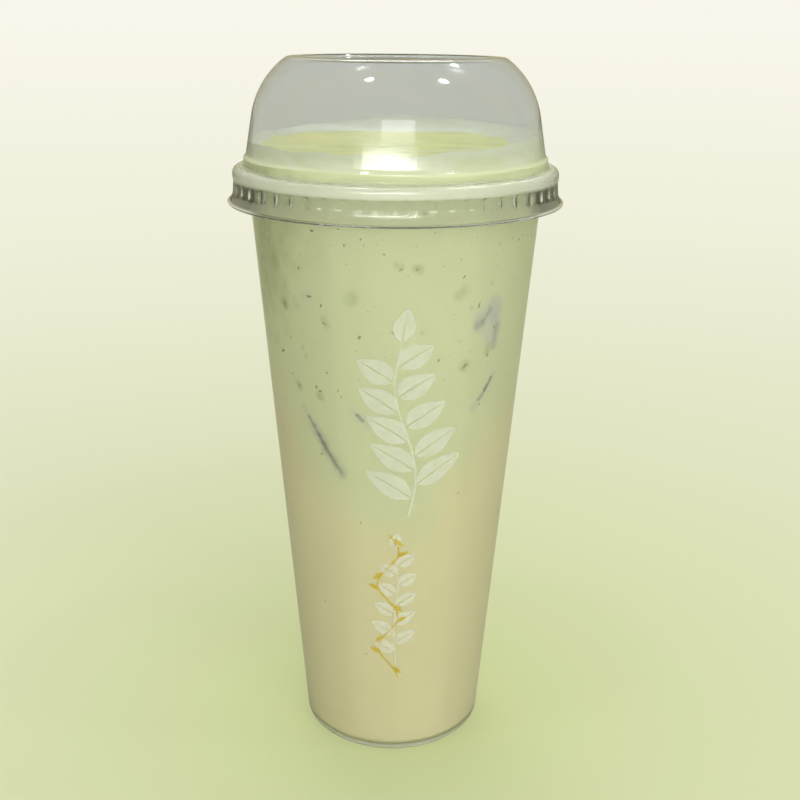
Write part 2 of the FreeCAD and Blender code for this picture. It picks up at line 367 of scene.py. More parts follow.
# The inside of the cup and the dome, moved a little into their walls, from the floor's middle up.
def wallPath():
    inside = innerSkin(skirtCorners() + domeCorners(), lid["wall"])[len(skirtCorners()):]
    corners = [(0, floorHeight, 0),
               (innerWall(floorHeight), floorHeight, cup["floorCorner"]),
               (cup["mouthRadius"], cup["height"], cup["mouthEdge"]),
               (inside[0][0], cup["height"], 0), *inside[1:]]
    return roundedPath(innerSkin(corners, -drink["intoWall"]), lineStep=drink["wallStep"])


drinkWall = wallPath()


# The wall's radius at a height, from its path above the floor.
def wallRadius(height):
    side = drinkWall[(drinkWall[:, 1] > floorHeight - 0.1) & (drinkWall[:, 0] > 20)]
    order = np.maximum.accumulate(side[:, 1]) + np.arange(len(side)) * 1e-6
    return np.interp(height, order, side[:, 0])


# The height at which a level meets the wall, found by stepping between the two.
def wallHeight(level, cosA, sinA):
    height = np.full(len(cosA), 120.0)
    for _ in range(12):
        radius = wallRadius(height)
        height = level(radius * cosA, radius * sinA)
    return height


# One layer: a lower face from the axis out, a side between both levels and an upper face back to the axis.
# Only the tea has no lower level, and follows the wall's path over the cup's floor.
def layerPiece(name, bottom, top, rings, capRings=40):
    angles = evenAngles(drink["columns"])
    cosA, sinA = np.cos(angles), np.sin(angles)
    inward = np.linspace(0, 1, capRings + 1)[1:-1, None] ** drink["ringSpread"]
    high = wallHeight(top, cosA, sinA)
    if bottom:
        low = wallHeight(bottom, cosA, sinA)
        startRadii = wallRadius(low) * inward
        startHeights = bottom(startRadii * cosA, startRadii * sinA)
    else:
        start = drinkWall[drinkWall[:, 1] < drink["cornerTop"]][1:]
        startRadii, startHeights = turned(start, len(angles))
        low = startHeights[-1] + 1
    sideHeights = low + (high - low) * np.linspace(0, 1, rings)[:, None]
    sideRadii = wallRadius(sideHeights)
    topRadii = sideRadii[-1] * inward[::-1]
    radii = np.vstack([startRadii, sideRadii, topRadii])
    heights = np.vstack([startHeights, sideHeights, top(topRadii * cosA, topRadii * sinA)])
    return turnedPiece(name, radii, heights, angles, drink["sharp"])


# A shallow pool that runs on a little into the cream, which hides its rim. The rim is where the dish
# climbs to the sauce: share = climb ** (1 / dishPower).
def makeSauce():
    angles = evenAngles(drink["columns"])
    cosA, sinA = np.cos(angles), np.sin(angles)
    climb = (drink["sauceRise"] - drink["dishRise"]) / (clingRise(angles) - drink["dishRise"])
    rim = dishRadius * climb ** (1 / drink["dishPower"]) + drink["sauceOverlap"]
    radii = rim * np.linspace(0, 1, drink["sauceRings"])[1:, None]
    x, y = radii * cosA, radii * sinA
    top = sauceTop(x, y)
    under = np.minimum(top - drink["sauceThickness"], creamTop(x, y) - drink["sauceSunk"])
    return turnedPiece("saucePool", np.vstack([radii, radii[::-1]]), np.vstack([under, top[::-1]]), angles)


milkTea = layerPiece("milkTea", None, teaTop, rings=50)
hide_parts("milk_tea")
pistachioLayer = layerPiece("pistachioLayer", teaTop, foamTop, rings=60)
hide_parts("pistachio_foam")
creamDish = layerPiece("creamDish", foamTop, creamTop, rings=24, capRings=90)
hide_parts("cream_cap")
saucePool = makeSauce()
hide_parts("pistachio_sauce")
print("drink made")


crumbs = {
    "count": 210, "small": 0.14, "large": 0.6, "low": 96.0, "belowRim": 6.0, "thickness": 0.12,
    "sunk": 0.05, "lumps": 0.5, "yellowShare": 0.05, "rows": 4, "columns": 8,
    # front angle in degrees, height, length and turn of the larger ones, and 1 for the yellow ones
    "placed": (
        (-36, 147, 1.8, 5, 0), (-50, 143.5, 1.3, 40, 0), (-30, 145, 1.2, 80, 0), (-29, 140, 1.7, -35, 0),
        (-4, 160, 0.7, 0, 0), (2, 156, 1.2, 20, 0), (8, 156, 1.1, 60, 0), (35, 145, 1.8, 85, 0),
        (-21, 166, 0.8, 10, 0), (-32, 165, 0.9, 0, 0), (55, 161, 1.1, 50, 0), (58, 162, 0.8, 0, 0),
        (-48, 134, 1.3, 70, 1), (-55, 129, 2, 30, 0), (-29, 126, 0.8, 0, 0), (-49, 123, 0.9, 20, 0),
        (-45, 120, 1.2, 75, 0), (-35, 121, 1.4, 60, 0), (-33, 120, 1, 10, 0), (-24, 121, 1.1, 60, 1),
        (-23, 119.5, 0.7, 0, 1), (42, 130, 1.6, 60, 0), (30, 128, 2.2, 40, 0), (32, 89, 0.6, 0, 0),
        (-16, 81, 0.7, 15, 0), (-40, 51, 0.6, 0, 0), (-15, 36, 0.6, 0, 0), (-38, 158, 0.8, 0, 1)),
}


# A place at a radius, a front angle, which is 0 towards -Y and grows towards +X, and a height.
def around(radius, turn, height):
    return np.stack([radius * np.sin(turn), -radius * np.cos(turn), height], -1)


# A place on the drink's side.
def onWall(turn, height, sunk=0.0):
    return around(wallRadius(height) - sunk, turn, height)


# Each crumb is a small, flattened and lumpy ball, (long, slim, thin) * ball, turned in the wall's plane.
# The loose ones are rarer lower down. Their tones say how dark they are, and one more marks a yellow one.
def makeCrumbs():
    placed = np.array(crumbs["placed"], float)
    count = crumbs["count"]
    turns = np.append(np.radians(placed[:, 0]), rng.uniform(-math.pi, math.pi, count))
    spread = cup["height"] - crumbs["low"] - crumbs["belowRim"]
    heights = np.append(placed[:, 1], crumbs["low"] + spread * (1 - rng.random(count) ** 1.7))
    sizes = crumbs["small"] + (crumbs["large"] - crumbs["small"]) * rng.random(count) ** 3
    longs = np.append(placed[:, 2] / 2, sizes)
    slims = np.append(np.clip(0.18 + 0.12 * placed[:, 2], 0.2, 0.42), sizes * rng.uniform(0.5, 1, count))
    tilts = np.append(np.radians(placed[:, 3]), rng.uniform(0, math.pi, count))
    tones = np.append(rng.uniform(0.5, 0.9, len(placed)), rng.uniform(0.1, 0.8, count) ** 1.2)
    tones[np.append(placed[:, 4] > 0, rng.random(count) < crumbs["yellowShare"])] += 1
    rows, columns = crumbs["rows"], crumbs["columns"]
    lifts = np.linspace(-1, 1, rows + 2)[1:-1, None]
    angles = evenAngles(columns)
    girth = np.sqrt(1 - lifts ** 2)
    ball = np.stack([girth * np.cos(angles), girth * np.sin(angles), lifts + 0 * angles], -1).reshape(-1, 3)
    ball = np.vstack([ball, [[0, 0, -1], [0, 0, 1]]])
    lumps = 1 + crumbs["lumps"] * rng.uniform(-1, 1, (len(turns), len(ball), 1))
    local = ball * lumps * np.stack([longs, slims, np.full(len(longs), crumbs["thickness"])], -1)[:, None]
    cosT, sinT = np.cos(tilts)[:, None, None], np.sin(tilts)[:, None, None]
    across, up = local[..., :1] * cosT - local[..., 1:2] * sinT, local[..., :1] * sinT + local[..., 1:2] * cosT
    out = around(1, turns, 0 * turns)[:, None]
    aside = around(1, turns + math.pi / 2, 0 * turns)[:, None]
    rise = np.array([0, 0, 1]) + cupLean * out
    points = onWall(turns, heights, crumbs["sunk"])[:, None] + across * aside + up * rise + local[..., 2:] * out
    starts = np.arange(len(turns))[:, None, None] * len(ball)
    quads = (gridFaces(rows, columns, True)[None] + starts).reshape(-1, 4)
    fans = (np.vstack(capFans(rows, columns))[None] + starts).reshape(-1, 3)
    piece = newPiece("nutCrumbs", points.reshape(-1, 3), [quads, fans], 180)
    tone = piece.data.attributes.new("tone", "FLOAT", "POINT")
    tone.data.foreach_set("value", np.repeat(tones, len(ball)).astype(np.float32))
    return piece


nutCrumbs = makeCrumbs()
print("crumbs made")


# Two sprigs printed in white, one over the other, and a thin gold vine. Each leaf is two halves beside a
# bare midrib, and every place is (across the wall, height).
sprigPrint = {
    "outside": 0.04, "inside": 0.005, "wallRadius": 36.5,
    "large": {"start": (4.5, 84.0), "end": (2.0, 136.0), "sway": 2.4, "pairs": 5, "leaf": 15.5,
              "broad": 3.3, "open": 52.0, "rib": 0.5, "stem": 0.8},
    "small": {"start": (1.5, 33.0), "end": (0.5, 73.0), "sway": -0.9, "pairs": 5, "leaf": 8.6,
              "broad": 2.0, "open": 54.0, "rib": 0.4, "stem": 0.7},
    "vine": {"top": 78.0, "bottom": 28.0, "middle": -1.6, "swing": 3.4, "waves": 2.25, "stroke": 0.5,
             "leaf": 3.8, "broad": 0.55, "rib": 0.2},
}


# Closed thin sheets on the wall: across and height are a grid, given an outer and an inner face and a rim.
def printedSheets(name, sheets):
    points, faces, first = [], [], 0
    for across, height in sheets:
        turn = across / sprigPrint["wallRadius"]
        for lift in (sprigPrint["outside"], sprigPrint["inside"]):
            points.append(around(outerWall(height) + lift, turn, height).reshape(-1, 3))
        rows, columns = across.shape
        outer = np.arange(across.size).reshape(rows, columns) + first
        rim = np.concatenate([outer[0, :-1], outer[:-1, -1], outer[-1, :0:-1], outer[:0:-1, 0]])
        onward = np.roll(rim, -1)
        grid = gridFaces(rows, columns, False, first)
        band = np.stack([onward, rim, rim + across.size, onward + across.size], 1)
        faces += [grid, grid[:, ::-1] + across.size, band]
        first += 2 * across.size
    piece = newPiece(name, np.vstack(points), faces, 40)
    return piece


# A band of even width along a line of places: each edge lies half a width to the side of the line.
def strokeSheet(places, width):
    along = np.gradient(places, axis=0)
    along /= np.linalg.norm(along, axis=1)[:, None]
    side = np.stack([along[:, 1], -along[:, 0]], 1) * np.broadcast_to(width, len(places))[:, None] / 2
    edges = np.stack([places - side, places + side], 1)
    return edges[..., 0], edges[..., 1]


# Two halves of a leaf. Each starts half a rib beside the middle line and reaches
# broad * sin(pi * along ** 0.8) ** 0.9 out. The leaf curls aside by a tenth of its length * along ** 2.
def leafSheets(base, turn, length, broad, rib):
    along = np.linspace(0, 1, 22)[:, None]
    out = np.linspace(0, 1, 5)
    for hand in (-1, 1):
        reach = hand * (rib / 2 * (1 - along ** 3) + out * broad * np.sin(math.pi * along ** 0.8) ** 0.9)
        run = length * along + 0 * out
        bent = reach + 0.1 * length * along ** 2 * math.copysign(1, math.sin(turn))
        across = base[0] + run * math.sin(turn) + bent * math.cos(turn)
        height = base[1] + run * math.cos(turn) - bent * math.sin(turn)
        yield (across, height) if hand > 0 else (across[:, ::-1], height[:, ::-1])


# A stem that sways as a sine wave, with leaves left and right in turn that shorten towards its tip.
def sprigSheets(size):
    start, end = np.array(size["start"]), np.array(size["end"])
    share = np.linspace(0, 1, 60)[:, None]
    stem = start + (end - start) * share
    stem[:, 0] += size["sway"] * np.sin(2 * math.pi * share[:, 0])
    sheets = [strokeSheet(stem, size["stem"] * (1 - 0.6 * share[:, 0]))]
    leaves = size["pairs"] * 2
    for i in range(leaves):
        place = stem[int(6 + 50 * i / leaves)]
        hand = 1 if i % 2 else -1
        length = size["leaf"] * (1 - 0.35 * i / leaves)
        base = place + np.array([hand * size["stem"] * 0.8, 0.4])
        sheets += leafSheets(base, hand * math.radians(size["open"]), length, size["broad"], size["rib"])
    sheets += leafSheets(stem[-1] + np.array([0, 0.5]), 0.06, size["leaf"] * 0.6, size["broad"] * 0.8, size["rib"])
    return sheets


# A line that sinks and swings from side to side, with a small leaf outside each swing.
def vineSheets(size):
    share = np.linspace(0, 1, 300)
    phase = 2 * math.pi * size["waves"] * share
    across = size["middle"] + size["swing"] * np.sin(phase)
    height = size["top"] + (size["bottom"] - size["top"]) * share
    sheets = [strokeSheet(np.stack([across, height], 1), size["stroke"] * (0.7 + 0.4 * np.sin(2 * phase) ** 2))]
    for i in range(int(size["waves"] * 4)):
        at = int(299 * (0.35 + i) / (size["waves"] * 4))
        hand = 1 if math.sin(phase[at]) > 0 else -1
        base = np.array([across[at], height[at]])
        turn = hand * math.radians(60 if i % 2 else 118)
        sheets += leafSheets(base, turn, size["leaf"], size["broad"], size["rib"])
    return sheets


whitePrint = printedSheets("whitePrint", sprigSheets(sprigPrint["large"]) + sprigSheets(sprigPrint["small"]))
goldPrint = printedSheets("goldPrint", vineSheets(sprigPrint["vine"]))
print("print made")


# A colour written as it is seen, 0 to 255, turned into linear light.
def seen(red, green, blue):
    share = np.array([red, green, blue]) / 255
    linear = np.where(share <= 0.04045, share / 12.92, ((share + 0.055) / 1.055) ** 2.4)
    return (*linear.tolist(), 1.0)


def newMaterial(name, values):
    material = bpy.data.materials.new(name)
    material.use_nodes = True
    shader = material.node_tree.nodes["Principled BSDF"]
    for key, value in values.items():
        shader.inputs[key].default_value = value
    return material, material.node_tree, shader


# A shader node with its settings, and the plain values or the links of its inputs.
def addNode(tree, kind, values=None, **settings):
    node = tree.nodes.new("ShaderNode" + kind)
    for key, value in settings.items():
        setattr(node, key, value)
    for key, value in (values or {}).items():
        plug(tree, value, node.inputs[key])
    return node


def plug(tree, value, socket):
    if isinstance(value, bpy.types.NodeSocket):
        tree.links.new(value, socket)
    else:
        socket.default_value = value


def maths(tree, operation, first, second=0.0, clamp=False):
    return addNode(tree, "Math", {0: first, 1: second}, operation=operation, use_clamp=clamp).outputs[0]


def times(tree, first, second):
    return maths(tree, "MULTIPLY", first, second)


def mixed(tree, share, first, second):
    return addNode(tree, "Mix", {0: share, 6: first, 7: second}, data_type="RGBA").outputs[2]


def ranged(tree, value, low, high, toLow=0.0, toHigh=1.0):
    values = {"Value": value, "From Min": low, "From Max": high, "To Min": toLow, "To Max": toHigh}
    return addNode(tree, "MapRange", values, interpolation_type="SMOOTHSTEP").outputs[0]


# Runs over a band of heights, given in millimetres.
def banded(tree, height, band, toLow=0.0, toHigh=1.0):
    return ranged(tree, height, band[0] * mm, band[1] * mm, toLow, toHigh)


def noise(tree, place, scale, detail, roughness=0.5, distortion=0.0, output="Fac"):
    return addNode(tree, "TexNoise", {"Vector": place, "Scale": scale, "Detail": detail, "Roughness": roughness,
                                      "Distortion": distortion}).outputs[output]


def stretched(tree, place, scale, turn=(0, 0, 0)):
    return addNode(tree, "Mapping", {"Vector": place, "Scale": scale, "Rotation": turn}).outputs[0]


def vector(tree, operation, first, second):
    node = addNode(tree, "VectorMath", {0: first, 3 if operation == "SCALE" else 1: second}, operation=operation)
    return node.outputs[1 if operation in ("DOT_PRODUCT", "DISTANCE") else 0]


def axes(tree, place):
    return addNode(tree, "SeparateXYZ", {0: place}).outputs


def bumped(tree, shader, height, strength, distance):
    bump = addNode(tree, "Bump", {"Strength": strength, "Distance": distance * mm, "Height": height})
    plug(tree, bump.outputs[0], shader.inputs["Normal"])


def blended(tree, share, first, second):
    return addNode(tree, "MixShader", {0: share, 1: first, 2: second}).outputs[0]


def objectPlace(tree):
    return addNode(tree, "TexCoord").outputs["Object"]


def newGroup(name, inputs, outputs):
    group = bpy.data.node_groups.new(name, "ShaderNodeTree")
    for label, kind in inputs:
        group.interface.new_socket(label, in_out="INPUT", socket_type=kind)
    for label, kind in outputs:
        group.interface.new_socket(label, in_out="OUTPUT", socket_type=kind)
    return group, group.nodes.new("NodeGroupInput").outputs, group.nodes.new("NodeGroupOutput").inputs


# Green above and beige below, with a soft edge: share = smooth(height - level + swirl), where the level is
# a saddle, low towards the front and back. Placed on both layers, so no seam shows between them.
def layerColourGroup():
    group, given, result = newGroup("layerColour", [("Foam", "NodeSocketColor"), ("Tea", "NodeSocketColor")],
                                    [("Color", "NodeSocketColor")])
    place = objectPlace(group)
    x, y, z = axes(group, place)
    saddle = maths(group, "SUBTRACT", times(group, x, x), times(group, y, y))
    saddle = times(group, saddle, drinkFinish["edgeSaddle"] / drinkFinish["edgeRadius"] ** 2 / mm)
    above = maths(group, "SUBTRACT", z, maths(group, "ADD", saddle, drinkFinish["edgeLevel"] * mm))
    swirl = maths(group, "SUBTRACT", noise(group, stretched(group, place, (1, 1, 0.55)), 34, 4, 0.55, 0.7), 0.5)
    above = maths(group, "ADD", above, times(group, swirl, drinkFinish["edgeSwirl"] * mm))
    share = ranged(group, above, -drinkFinish["edgeBelow"] * mm, drinkFinish["edgeAbove"] * mm)
    plug(group, mixed(group, share, given["Tea"], given["Foam"]), result["Color"])
    return group


# Soft round specks: dark where the nearest random point is closer than the size, more of them high up.
def speckGroup():
    group, given, result = newGroup("softSpecks", [("Scale", "NodeSocketFloat"), ("Size", "NodeSocketFloat")],
                                    [("Mask", "NodeSocketFloat")])
    place = objectPlace(group)
    wobble = noise(group, place, 1600.0, 1.0, output="Color")
    wobble = vector(group, "SCALE", wobble, drinkFinish["speckWobble"] * mm)
    cells = addNode(group, "TexVoronoi", {"Vector": vector(group, "ADD", place, wobble), "Scale": given["Scale"]})
    near = maths(group, "DIVIDE", cells.outputs["Distance"], given["Size"])
    spot = ranged(group, near, 0.45, 1.0, 1.0, 0.0)
    high = banded(group, axes(group, place)[2], drinkFinish["speckBand"], drinkFinish["fewestSpecks"])
    plug(group, times(group, spot, high), result["Mask"])
    return group


# A mottled bar with soft, wandering edges between two places: 1 on its line, fading to 0 one width away.
def streakGroup():
    group, given, result = newGroup("softStreak", [("Start", "NodeSocketVector"), ("End", "NodeSocketVector"),
                                                   ("Width", "NodeSocketFloat")], [("Mask", "NodeSocketFloat")])
    place = objectPlace(group)
    mottle = ranged(group, noise(group, place, 420, 3, 0.6), 0.35, 0.62, 0.7, 1.0)
    aside = vector(group, "SUBTRACT", noise(group, place, 210.0, 2.0, output="Color"), (0.5, 0.5, 0.5))
    aside = vector(group, "SCALE", aside, times(group, given["Width"], drinkFinish["streakWobble"]))
    place = vector(group, "ADD", place, aside)
    bar = vector(group, "SUBTRACT", given["End"], given["Start"])
    reached = vector(group, "DOT_PRODUCT", vector(group, "SUBTRACT", place, given["Start"]), bar)
    along = maths(group, "DIVIDE", reached, vector(group, "DOT_PRODUCT", bar, bar), clamp=True)
    nearest = vector(group, "ADD", given["Start"], vector(group, "SCALE", bar, along))
    away = maths(group, "DIVIDE", vector(group, "DISTANCE", place, nearest), given["Width"])
    plug(group, times(group, ranged(group, away, 0.0, 1.0, 1.0, 0.0), mottle), result["Mask"])
    return group


drinkFinish = {
    "foam": seen(193, 198, 161), "tea": seen(202, 198, 160), "cloud": seen(216, 216, 182),
    "top": seen(216, 223, 182), "topBand": (176.5, 178.5),
    # specks: how fine, how large and how strong
    "specks": ((330.0, 0.09, 0.45), (115.0, 0.13, 0.18), (560.0, 0.13, 0.2)), "speck": seen(112, 116, 82),
    "speckBand": (98.0, 135.0), "fewestSpecks": 0.06, "speckWobble": 0.6, "streakWobble": 1.1,
    "icePale": seen(192, 194, 178), "ice": seen(176, 179, 168), "iceShade": seen(148, 150, 140),
    # shade is painted shade: a darker colour laid over the upper left, where less light falls
    "iceDark": seen(118, 121, 114), "blot": seen(146, 154, 108), "shade": seen(142, 148, 98),
    "edgeLevel": 106.0, "edgeSaddle": 22.0, "edgeRadius": 36.0, "edgeBelow": 22.0, "edgeAbove": 12.0,
    "edgeSwirl": 60.0,
    # first a painted shade on the upper left, then soft marks under the surface, nut and then ice, each from
    # one front angle and height to another, with a width and a strength
    "streaks": {
        # painted shade on the upper left, where the lid's shadow and the light from the right darken the drink
        "shade": ((-70, 150, -62, 170, 24, 0.6),),
        "blot": ((-50.2, 143.4, -49.6, 142.8, 2.6, 0.8), (8, 156.2, 8.6, 156, 2.6, 0.55),
            (1, 157.2, 1.6, 157, 1.8, 0.5), (-29, 141, -28, 139.8, 2, 0.45),
            (-33.4, 119.8, -32.6, 118, 2, 0.55), (-45.4, 120.6, -44.6, 119.8, 2, 0.5),
            (-17.5, 147.6, -16, 148.2, 2.6, 0.4), (26, 148.2, 27.4, 149.2, 2.8, 0.4),
            (-55.5, 155.4, -54, 153.6, 2.6, 0.45), (29, 127.6, 30.6, 128.8, 2.2, 0.5),
            (41.5, 130.6, 42.6, 132.6, 2, 0.5)),
        "ice": ((-37.6, 147.2, -35, 147, 1.9, 0.45), (-44, 114.5, -38, 109, 1.4, 0.6),
            (-17, 115.4, -11, 112, 2.4, 0.5), (47, 123.6, 37, 114.8, 2, 0.55),
            (37, 139.5, 44, 143, 5, 0.75), (43.5, 144, 43.8, 135, 4.4, 0.75)),
        "icePale": ((39.5, 139, 43.5, 134, 3.6, 0.5),),
        "iceShade": ((-37.5, 108.4, -24, 95.8, 2.9, 0.7), (34.5, 138.9, 38, 139.8, 1.8, 0.7),
            (38, 140.2, 41.6, 143, 1.1, 0.7), (45.5, 138, 45.2, 132, 1.8, 0.6)),
        "iceDark": ((-40.8, 111.6, -36, 107.2, 0.75, 0.8), (-35.8, 106.7, -32, 103, 0.95, 0.9),
            (-31, 102.3, -24.8, 96.2, 0.9, 0.7), (-15.8, 114.8, -13.4, 113.2, 0.9, 0.9),
            (45.7, 122.7, 42.3, 119.5, 0.95, 0.95), (42.3, 119.5, 39.5, 117, 1, 0.6)),
    },
}
layerColour, softSpecks, softStreak = layerColourGroup(), speckGroup(), streakGroup()


# Milky drink against the wall: soft and without gloss, as the plastic in front of it carries the gloss.
def drinkMaterial():
    material, tree, shader = newMaterial("milkyDrink", {"Roughness": 0.6, "Specular IOR Level": 0.1})
    layers = addNode(tree, "Group", {"Foam": drinkFinish["foam"], "Tea": drinkFinish["tea"]},
                     node_tree=layerColour)
    place = objectPlace(tree)
    cloud = ranged(tree, noise(tree, place, 24, 3), 0.42, 0.72, 0.0, 0.16)
    colour = mixed(tree, cloud, layers.outputs["Color"], drinkFinish["cloud"])
    colour = mixed(tree, banded(tree, axes(tree, place)[2], drinkFinish["topBand"]), colour, drinkFinish["top"])
    for scale, size, share in drinkFinish["specks"]:
        specks = addNode(tree, "Group", {"Scale": scale, "Size": size}, node_tree=softSpecks)
        colour = mixed(tree, times(tree, specks.outputs["Mask"], share), colour, drinkFinish["speck"])
    # The first colour, shade, paints shade over the upper left; the others are nut and ice marks.
    for shade, streaks in drinkFinish["streaks"].items():
        for turn, height, endTurn, endHeight, width, share in streaks:
            start, end = onWall(math.radians(turn), height) * mm, onWall(math.radians(endTurn), endHeight) * mm
            streak = addNode(tree, "Group", {"Start": start, "End": end, "Width": width * mm}, node_tree=softStreak)
            colour = mixed(tree, times(tree, streak.outputs["Mask"], share), colour, drinkFinish[shade])
    plug(tree, colour, shader.inputs["Base Color"])
    return material


crumbFinish = {"dark": seen(98, 102, 68), "mid": seen(132, 134, 90), "yellow": seen(190, 168, 74),
               "pale": seen(182, 190, 142)}


# The tone's fraction darkens a crumb, and a tone above 1 makes it yellow.
def crumbMaterial():
    material, tree, shader = newMaterial("nutSkin", {"Roughness": 0.6, "Specular IOR Level": 0.1})
    tone = addNode(tree, "Attribute", attribute_name="tone").outputs["Fac"]
    grain = ranged(tree, noise(tree, objectPlace(tree), 900, 2), 0.35, 0.65)
    dark = mixed(tree, grain, crumbFinish["dark"], crumbFinish["mid"])
    dark = mixed(tree, maths(tree, "GREATER_THAN", tone, 1.0), dark, crumbFinish["yellow"])
    colour = mixed(tree, maths(tree, "FRACT", tone), crumbFinish["pale"], dark)
    plug(tree, colour, shader.inputs["Base Color"])
    return material


creamFinish = {
    "pale": seen(219, 223, 200), "green": seen(204, 211, 172), "film": seen(218, 223, 202),
    # low is a painted highlight: lighter cream at the bottom, behind the lid's step
    "low": seen(222, 230, 192), "filmBand": (185.5, 188.5), "paintedHighlightBand": (179.5, 181.5), "ragged": 4.0,
}


# Whipped cream: pale, faintly mottled, dragged round the wall and a little lumpy. Its lowest band is a painted
# highlight, lighter where the lid's step in front of it catches the light.
def creamMaterial():
    material, tree, shader = newMaterial("whippedCream", {
        "Roughness": 0.27, "Specular IOR Level": 0.5, "Subsurface Weight": 0.12,
        "Subsurface Radius": (0.003, 0.003, 0.002)})
    place = objectPlace(tree)
    height = axes(tree, place)[2]
    cloud = noise(tree, stretched(tree, place, (1, 1, 2.5)), 60, 4, 0.6, 0.8)
    colour = mixed(tree, ranged(tree, cloud, 0.35, 0.75), creamFinish["pale"], creamFinish["green"])
    ragged = maths(tree, "ADD", height, times(tree, cloud, creamFinish["ragged"] * mm))
    colour = mixed(tree, banded(tree, ragged, creamFinish["filmBand"]), colour, creamFinish["film"])
    # Painted highlight: below this band the cream turns lighter, standing in for light off the lid's step.
    colour = mixed(tree, banded(tree, height, creamFinish["paintedHighlightBand"]), creamFinish["low"], colour)
    plug(tree, colour, shader.inputs["Base Color"])
    bumped(tree, shader, noise(tree, place, 150, 4), 0.3, 0.6)
    return material


sauceFinish = {
    "yellow": seen(230, 233, 146), "green": seen(206, 213, 118), "pale": seen(224, 229, 174),
    "warm": seen(238, 226, 138), "grey": seen(188, 197, 126),
}


# Sauce swept about while it set: streaks of yellow-green, paler cream and a greyer green.
def sauceMaterial():
    material, tree, shader = newMaterial("pistachioSauce", {
        "Roughness": 0.3, "Subsurface Weight": 0.1, "Subsurface Radius": (0.003, 0.003, 0.0015)})
    place = objectPlace(tree)
    sweep = noise(tree, stretched(tree, place, (0.35, 2.4, 1), (0, 0, 0.15)), 95, 4, 0.6, 1.0)
    colour = mixed(tree, ranged(tree, sweep, 0.42, 0.6), sauceFinish["yellow"], sauceFinish["green"])
    patch = noise(tree, stretched(tree, place, (0.7, 1.6, 1)), 42, 3, 0.5, 0.8)
    colour = mixed(tree, ranged(tree, patch, 0.54, 0.66, 0.0, 0.6), colour, sauceFinish["pale"])
    colour = mixed(tree, ranged(tree, patch, 0.46, 0.36, 0.0, 0.5), colour, sauceFinish["warm"])
    grey = noise(tree, stretched(tree, place, (0.5, 2.0, 1), (0, 0, -0.2)), 95, 3, 0.5, 0.5)
    colour = mixed(tree, ranged(tree, grey, 0.56, 0.68, 0.0, 0.6), colour, sauceFinish["grey"])
    plug(tree, colour, shader.inputs["Base Color"])
    bumped(tree, shader, sweep, 0.6, 0.9)
    return material


# Light passes through the piece and dims only a little, instead of meeting a full shadow.
def shadowless(tree, shader, dim=1.0):
    through = addNode(tree, "BsdfTransparent", {"Color": (dim, dim, dim, 1)}).outputs[0]
    shadow = addNode(tree, "LightPath").outputs["Is Shadow Ray"]
    whole = blended(tree, shadow, shader.outputs[0], through)
    plug(tree, whole, tree.nodes["Material Output"].inputs["Surface"])


# Clear plastic, which tints what is behind it by its colour once for each wall.
def clearPlastic(name, colour, rough, haze=0.0, ior=1.49, dim=1.0):
    material, tree, shader = newMaterial(name, {"Base Color": colour, "Roughness": rough, "IOR": ior,
                                                "Transmission Weight": 1.0 - haze})
    shadowless(tree, shader, dim)
    return material, tree, shader


lidFinish = {
    # clear is the lower part left untinted: a painted lightening of the same smoky plastic
    "clear": (0.95, 0.965, 0.93, 1), "smoky": (0.718, 0.742, 0.765, 1), "edge": (0.06, 0.065, 0.055, 1),
    "paintedClearToSmokyBand": (179.5, 185.0), "skirtBottom": (168.3, 168.9), "skirtTop": (173.8, 175.5),
    "domeBottom": (178.0, 180.0), "roughBand": (177.5, 179.5), "rough": 0.16, "smooth": 0.06,
}


# The dome's plastic is faintly smoky. Below the cream the same plastic is left clear, a painted lightening
# where light catches the bead and skirt. Both darken where the wall is seen edge on.
def lidMaterial():
    material, tree, shader = clearPlastic("lidPlastic", lidFinish["clear"], lidFinish["smooth"], haze=0.02,
                                          ior=1.56, dim=0.88)
    shader.inputs["Coat Weight"].default_value = 0.2
    shader.inputs["Coat Roughness"].default_value = 0.14
    height = axes(tree, objectPlace(tree))[2]
    facing = addNode(tree, "LayerWeight").outputs["Facing"]
    # One plastic: smoky over the dome, and lightened below the cream as painted light.
    colour = mixed(tree, banded(tree, height, lidFinish["paintedClearToSmokyBand"]), lidFinish["clear"], lidFinish["smoky"])
    skirt = times(tree, banded(tree, height, lidFinish["skirtBottom"]),
                  banded(tree, height, lidFinish["skirtTop"], 1.0, 0.0))
    dome = banded(tree, height, lidFinish["domeBottom"])
    skirtEdge = times(tree, ranged(tree, facing, 0.36, 0.54), skirt)
    domeEdge = times(tree, ranged(tree, facing, 0.88, 1.0, 0.0, 0.6), dome)
    edge = maths(tree, "MAXIMUM", skirtEdge, domeEdge)
    plug(tree, mixed(tree, edge, colour, lidFinish["edge"]), shader.inputs["Base Color"])
    rough = banded(tree, height, lidFinish["roughBand"], lidFinish["rough"], lidFinish["smooth"])
    plug(tree, rough, shader.inputs["Roughness"])
    return material


# Ink with faint worn flecks. The cover is how much it hides.
def inkMaterial(name, colour, worn, cover):
    material, tree, shader = newMaterial(name, {"Roughness": 0.5, "Alpha": cover})
    fleck = ranged(tree, noise(tree, objectPlace(tree), 420, 3), 0.35, 0.7)
    plug(tree, mixed(tree, fleck, colour, worn), shader.inputs["Base Color"])
    shadowless(tree, shader)
    return material


def dress(piece, *materials):
    piece.data.materials.clear()
    for material in materials:
        piece.data.materials.append(material)


cupFinish = {"rimDepth": 1.0, "rimFrom": 42.5, "footFrom": 0.05, "footTo": 1.9}


